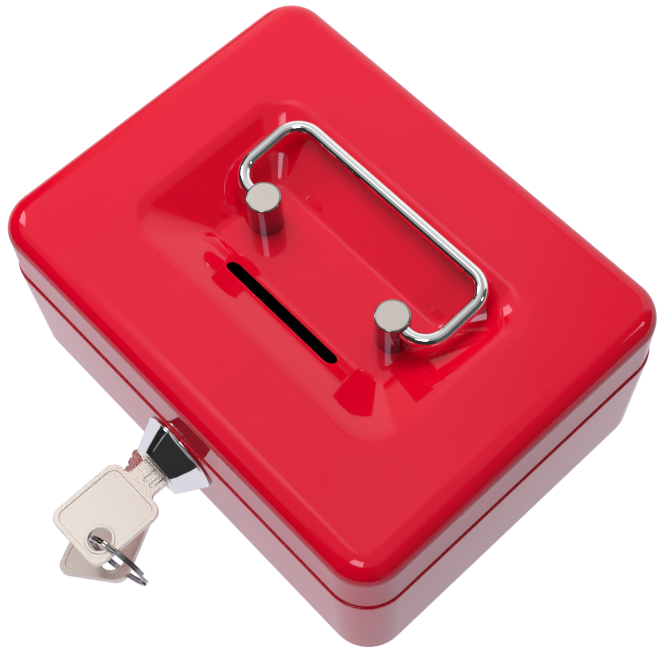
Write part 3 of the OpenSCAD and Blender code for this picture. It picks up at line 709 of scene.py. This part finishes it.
# %% Stamp the keys
def key_mesh(name):
    """Core, raised face and raised ring of one key, in the key's own plane."""
    hole = flat_circle(HOLE_X, HOLE_Y, HOLE_R)
    panel = flat_rect(-BOW_W / 2 + KEY_RIM, BOW_W / 2 - KEY_RIM, KEY_RIM, BOW_L - KEY_RIM, BOW_R - 0.8)
    grooves = [flat_rect(x - 0.1, x + 1.1, BOW_L + NECK_L * 0.3, BOW_L + NECK_L + BLADE_L - 3, 0.55)
               for x in (-0.4, 2.0)]
    layers = [stamped([key_outline(), hole], KEY_T - 2 * KEY_SUNK, 0.08),
              stamped([key_outline(), panel] + grooves, KEY_T, 0.12),
              stamped([flat_circle(HOLE_X, HOLE_Y, HOLE_R + 0.95), hole], KEY_T - 0.02, 0.14)]
    joined = bmesh.new()
    for layer in layers:
        joined.from_mesh(layer)
    mesh = bpy.data.meshes.new(name)
    joined.to_mesh(mesh)
    joined.free()
    return mesh


KEY_END = -97.013
RING_SPOT, RING_IN_R, PLAY = (10.5, -90.213, 21.5), 9.4, 0.05
SPARE_YAW, SPARE_ROLL, SPARE_ASIDE = 34.5, 10, 1.3
in_lock = Matrix.Translation((LOCK_X, KEY_END, LOCK_Z))
# The spare key hangs by its hole on the ring's lowest point, and its tip rests on the table.
hole_z = RING_SPOT[2] - RING_IN_R + KEY_T / 2 - PLAY
key_len = BOW_L + NECK_L + BLADE_L
tip_z = KEY_T / 2 + (HOLE_X + TIP_HALF) * math.sin(math.radians(SPARE_ROLL)) + PLAY
pitch = math.asin((hole_z - tip_z) / (key_len - HOLE_Y))
hung = (Matrix.Translation((LOCK_X + HOLE_X + SPARE_ASIDE, KEY_END + HOLE_Y, hole_z))
        @ Matrix.Rotation(math.radians(SPARE_YAW), 4, "Z")
        @ Matrix.Rotation(math.radians(-SPARE_ROLL), 4, "Y")
        @ Matrix.Rotation(-pitch, 4, "X") @ Matrix.Translation((-HOLE_X, -HOLE_Y, 0)))
for name, spot, body, node in (("stamped_key", in_lock, "key", "key_in_lock"),
                               ("stamped_spare_key", hung, "spare", "spare_key")):
    mesh = key_mesh(name)
    mesh.transform(Matrix.Scale(MM, 4) @ spot @ Matrix.Scale(1 / MM, 4))
    key = place_piece(name, mesh, body, [nickel], [node])
    sharp_by_angle(key, 55)

# %% [markdown]
# ## The split ring
# A split ring is two turns of flattened spring wire, with a small jog where one turn steps over to
# the other. Sweeping the wire's section along that path shows the dark line between the turns.

# %% Wind the split ring
RING_MID, BAND, TURN_W, WIRE_R = 9.98, 1.00, 0.70, 0.18
RING_START, RING_TURNS, RING_STEPS, RING_YAW = 0.06, 1.88, 200, 11
JOG_START, JOG_LENGTH, HALF_JOG = 0.46, 0.08, 0.4
ring_path, ring_ups = [], []
for i in range(RING_STEPS + 1):
    share = i / RING_STEPS
    turn = math.tau * (RING_START + RING_TURNS * share)
    along = min(max((share - JOG_START) / JOG_LENGTH, 0), 1)
    lift = -HALF_JOG + 2 * HALF_JOG * along * along * (3 - 2 * along)
    radial = Vector((math.cos(turn), math.sin(turn), 0))
    ring_path.append(radial * RING_MID + Vector((0, 0, lift)))
    ring_ups.append(radial)
w, h = TURN_W / 2, BAND / 2
wire = [(sx * (w - WIRE_R) + WIRE_R * c, sy * (h - WIRE_R) + WIRE_R * s)
        for sx, sy, start in ((1, 1, 0), (-1, 1, 90), (-1, -1, 180), (1, -1, 270))
        for c, s in bend(start, start + 90, 4)]
ring_lay = (Matrix.Translation(RING_SPOT) @ Matrix.Rotation(math.radians(RING_YAW), 4, "Z")
            @ Matrix.Rotation(math.pi / 2, 4, "X"))
points, faces = loft([at(ring_lay, x) for x in sweep(ring_path, wire, ring_ups)], True, True)
split_ring = make_piece("split_ring", points, faces, "ring", [chrome_with_painted_shade], ["key_ring"])
sharp_by_angle(split_ring, 60)

# %% [markdown]
# ## Pieces that keep their CAD shape
# Hinges, rivets, screws, the nut, the cam, the tray and its ledges are already the right shape. They
# only lack the tiny round edges that catch light on real stampings, so each gets a weld, which joins
# the CAD mesh's split vertices, and a narrow bevel, and then its finish.

# %% Finish the plain pieces
# Each node's finish, and the width of its round edge in millimetres.
PLAIN = {
    "post_washers": (zinc, 0.10), "post_screws": (zinc, 0.12),
    "hinge_left_base_leaf": (zinc, 0.15), "hinge_left_lid_leaf": (zinc, 0.15),
    "hinge_right_base_leaf": (zinc, 0.15), "hinge_right_lid_leaf": (zinc, 0.15),
    "hinge_left_pin": (zinc, 0.08), "hinge_right_pin": (zinc, 0.08),
    "base_rivets": (zinc, 0.08), "lid_rivets": (zinc, 0.08),
    "lock_nut": (brass, 0.25), "lock_plug": (nickel, 0.08), "lock_wafers": (brass, 0.04),
    "lock_cam": (zinc, 0.15), "cam_screw": (zinc, 0.10), "lid_strike": (zinc, 0.15),
    "coin_tray": (styrene, 0.35), "tray_rests": (enamel, 0.20)}
for name, (finish, edge) in PLAIN.items():
    node = nodes[name]
    node.data.materials.clear()
    node.data.materials.append(finish)
    weld = node.modifiers.new("weld", "WELD")
    weld.merge_threshold = 0.002 * MM
    round_edge = node.modifiers.new("edge", "BEVEL")
    round_edge.width = edge * MM
    round_edge.segments = 2
    round_edge.limit_method = "ANGLE"
    round_edge.angle_limit = math.radians(35)
    round_edge.harden_normals = False
print("finished", len(PLAIN), "plain pieces")

# %% [markdown]
# ## The studio
# A glossy box shows its surroundings as much as itself. It stands on a wide white table, which the
# camera sees as plain white and which still takes the box's shadow. None of this is part of the object.

# %% Table
WHITE = (1, 1, 1, 1)


def stage_piece(name, points, faces, finish, **seen):
    """A mesh in metres that belongs to the studio. seen says which rays meet it."""
    mesh = bpy.data.meshes.new(name)
    mesh.from_pydata(points, [], faces)
    made = bpy.data.objects.new(name, mesh)
    bpy.context.scene.collection.objects.link(made)
    mesh.materials.append(finish)
    for key, value in seen.items():
        setattr(made, "visible_" + key, value)
    return made


def white_table():
    """White paint that lamps shade, and that looks plain white to the camera and in reflections."""
    finish, tree = new_finish("white_table")
    path = add(tree, "LightPath")
    paint = add(tree, "BsdfDiffuse", {"Color": (0.18, 0.18, 0.18, 1)})
    glow = add(tree, "Emission", {"Color": (1, 0.965, 1.05, 1), "Strength": 1.22})
    mirror = add(tree, "Math", {0: (path, "Is Glossy Ray"), 1: (path, "Is Transmission Ray")},
                 operation="MAXIMUM")
    part = add(tree, "Math", {0: (mirror, "Value"), 1: 0.64}, operation="MULTIPLY")
    seen = add(tree, "Math", {0: (path, "Is Camera Ray"), 1: 0.86}, operation="MULTIPLY")
    share = add(tree, "Math", {0: (part, "Value"), 1: (seen, "Value")}, operation="MAXIMUM")
    mix = add(tree, "MixShader", {0: (share, "Value"), 1: (paint, "BSDF"), 2: (glow, "Emission")})
    add(tree, "OutputMaterial", {"Surface": (mix, "Shader")})
    return finish


TABLE_HALF, TABLE_Z = 30.0, -0.0003
corners = [(x * TABLE_HALF, y * TABLE_HALF, TABLE_Z) for x, y in ((-1, -1), (1, -1), (1, 1), (-1, 1))]
stage_piece("table", corners, [(0, 1, 2, 3)], white_table())
print("table", 2 * TABLE_HALF, "m across")

# %% [markdown]
# ## The light tent
# What the gloss and the chrome mirror is a light tent: a pale dome with dark flags in front and at the
# sides, which keep the rolled edges a deep red and draw the dark lines in the chrome, and small bright
# windows, which draw the marks on the corners and the posts. Cards and soft boxes could be modelled one
# by one. Painting their brightness on the points of a dome keeps them all in one short list instead. Only
# reflections see the dome, and a low inner band repeats it close to the box, for the foot of the walls.

# %% Light tent, flags and windows
REFLECTION_ONLY = {"camera": False, "diffuse": False, "shadow": False, "transmission": True}
TENT_R, LOW_BAND_R = 1.0, 0.45
TENT_ROWS = [i - 1 for i in range(91)]
LOW_BAND_ROWS = [0.6 + 0.6 * i for i in range(11)]
AZIMUTH_STEP = 2
TENT_WHITE = (0.99, 0.98, 0.97, 1)
# Each panel: azimuth and elevation of its middle, its half sizes, the softness of its edge, in degrees
# of direction, then how bright it is. Azimuth 0 is in front of the box and 90 to its right.
PANELS = [
    ("back_wall", 180, 20, 70, 26, 12, 1.05),
    ("left_sky", -105, 68, 50, 26, 18, 0.75),
    ("key_sheen", -86, 74, 16, 8, 14, 1.7),
    ("front_flag", -15, 14, 85, 24, 3, 0.02),
    ("front_right_flag", 28, 30, 42, 30, 5, 0.03),
    ("right_flag", 110, 34, 46, 26, 6, 0.10),
    ("left_low_flag", -95, 0, 22, 8, 4, 0.12),
    ("left_window", -79, 43, 8, 7, 1, 6.0),
    ("back_window", 133, 43, 4, 4, 1, 5.0),
    ("right_window", 21, 67, 18, 7, 3, 6.0)]
PLAIN_LEVEL = 0.42


def soft_step(distance, half, edge):
    """1 inside, 0 outside, with a soft edge."""
    t = min(max((half + edge / 2 - distance) / edge, 0), 1)
    return t * t * (3 - 2 * t)


def tent_level(azimuth, elevation):
    """Brightness of the tent in one direction: each panel covers those above it in the list."""
    level = PLAIN_LEVEL
    for _, az, el, wide, high, edge, bright in PANELS:
        across = abs((azimuth - az + 180) % 360 - 180)
        mask = soft_step(across, wide, edge) * soft_step(abs(elevation - el), high, edge)
        level += (bright - level) * mask
    return level


def direction(azimuth, elevation):
    """Unit vector towards an azimuth and an elevation, in degrees."""
    a, e = math.radians(azimuth), math.radians(elevation)
    return Vector((math.sin(a) * math.cos(e), -math.cos(a) * math.cos(e), math.sin(e)))


def painted_glow(name, tint):
    """Emission whose strength is painted on the mesh's points."""
    finish, tree = new_finish(name)
    paint = add(tree, "Attribute", attribute_name="level")
    glow = add(tree, "Emission", {"Color": tint, "Strength": (paint, "Fac")})
    add(tree, "OutputMaterial", {"Surface": (glow, "Emission")})
    return finish


def painted_dome(name, radius, elevations, tint):
    """Part of a dome in rows of points, each painted with the level of its own direction."""
    azimuths = range(-180, 180, AZIMUTH_STEP)
    rings = [[radius * direction(a, e) for a in azimuths] for e in elevations]
    points, faces = loft(rings, close_end=elevations[-1] > 80)
    dome = stage_piece(name, points, faces, painted_glow(name + "_glow", tint), **REFLECTION_ONLY)
    level = dome.data.attributes.new("level", "FLOAT", "POINT")
    values = [tent_level(a, e) for e in elevations for a in azimuths]
    level.data.foreach_set("value", values)
    print(name, "levels", round(min(values), 2), "to", round(max(values), 2))


painted_dome("tent", TENT_R, TENT_ROWS, TENT_WHITE)
painted_dome("low_flags", LOW_BAND_R, LOW_BAND_ROWS, WHITE)

# %% [markdown]
# ## Lamps and world
# The world is a dim even fill. Two soft lamps from the left and from above are the main light, and two
# more from the front and the right lift the walls. No reflection sees the lamps, because the tent's
# windows already draw the bright marks.

# %% World and lamps
LAMP_TARGET = Vector((0, 0, 0.04))
world = bpy.data.worlds.new("studio")
bpy.context.scene.world = world
world.use_nodes = True
tree = world.node_tree
tree.nodes.clear()
path = add(tree, "LightPath")
mirror = add(tree, "Math", {0: (path, "Is Glossy Ray"), 1: (path, "Is Transmission Ray")},
             operation="MAXIMUM")
seen = add(tree, "Math", {0: (mirror, "Value"), 1: (path, "Is Camera Ray")}, operation="MAXIMUM")
fill = add(tree, "Background", {"Color": WHITE, "Strength": 0.14})
plain = add(tree, "Background", {"Color": WHITE, "Strength": 1.0})
mix = add(tree, "MixShader", {0: (seen, "Value"), 1: (fill, "Background"), 2: (plain, "Background")})
add(tree, "OutputWorld", {"Surface": (mix, "Shader")})


def lamp(name, azimuth, elevation, distance, width, height, watts):
    """An area lamp aimed at the box, which reflections don't see."""
    data = bpy.data.lights.new(name, "AREA")
    data.shape = "RECTANGLE"
    data.size, data.size_y, data.energy = width, height, watts
    made = bpy.data.objects.new(name, data)
    bpy.context.scene.collection.objects.link(made)
    toward = direction(azimuth, elevation)
    made.location = LAMP_TARGET + toward * distance
    made.rotation_euler = toward.to_track_quat("Z", "Y").to_euler()
    made.visible_glossy = False


lamp("key_lamp", -110, 62, 0.6, 0.5, 0.5, 2.7)
lamp("top_lamp", -150, 76, 1.0, 0.7, 0.7, 2.4)
lamp("front_lamp", -5, 15, 1.0, 0.5, 0.5, 2.6)
lamp("right_lamp", 80, 10, 1.0, 0.5, 0.5, 1.2)

# %% [markdown]
# ## The camera
# A longer lens from above the right front corner, turned a little on its axis.

# %% Camera
AZIMUTH, ELEVATION, ROLL = 50.894, 63.395, -4.431
DISTANCE, TARGET = 419.884, Vector((6.481, -4.967, 40))
FOCAL_PIXELS, FRAME_PIXELS, SENSOR = 1482.03, 660, 36
turn = math.radians(AZIMUTH)
back = direction(AZIMUTH, ELEVATION)
right = Vector((math.cos(turn), math.sin(turn), 0))
up = back.cross(right)
c, s = math.cos(math.radians(ROLL)), math.sin(math.radians(ROLL))
axes = Matrix((c * right + s * up, c * up - s * right, back)).transposed()
data = bpy.data.cameras.new("camera")
data.sensor_width = SENSOR
data.lens = SENSOR * FOCAL_PIXELS / FRAME_PIXELS
data.clip_start, data.clip_end = 0.01, 100
camera = bpy.data.objects.new("camera", data)
camera.matrix_world = Matrix.Translation((TARGET + back * DISTANCE) * MM) @ axes.to_4x4()
bpy.context.scene.collection.objects.link(camera)
bpy.context.scene.camera = camera
bpy.context.scene.view_settings.view_transform = "Standard"
print("lens", round(data.lens, 1), "mm")
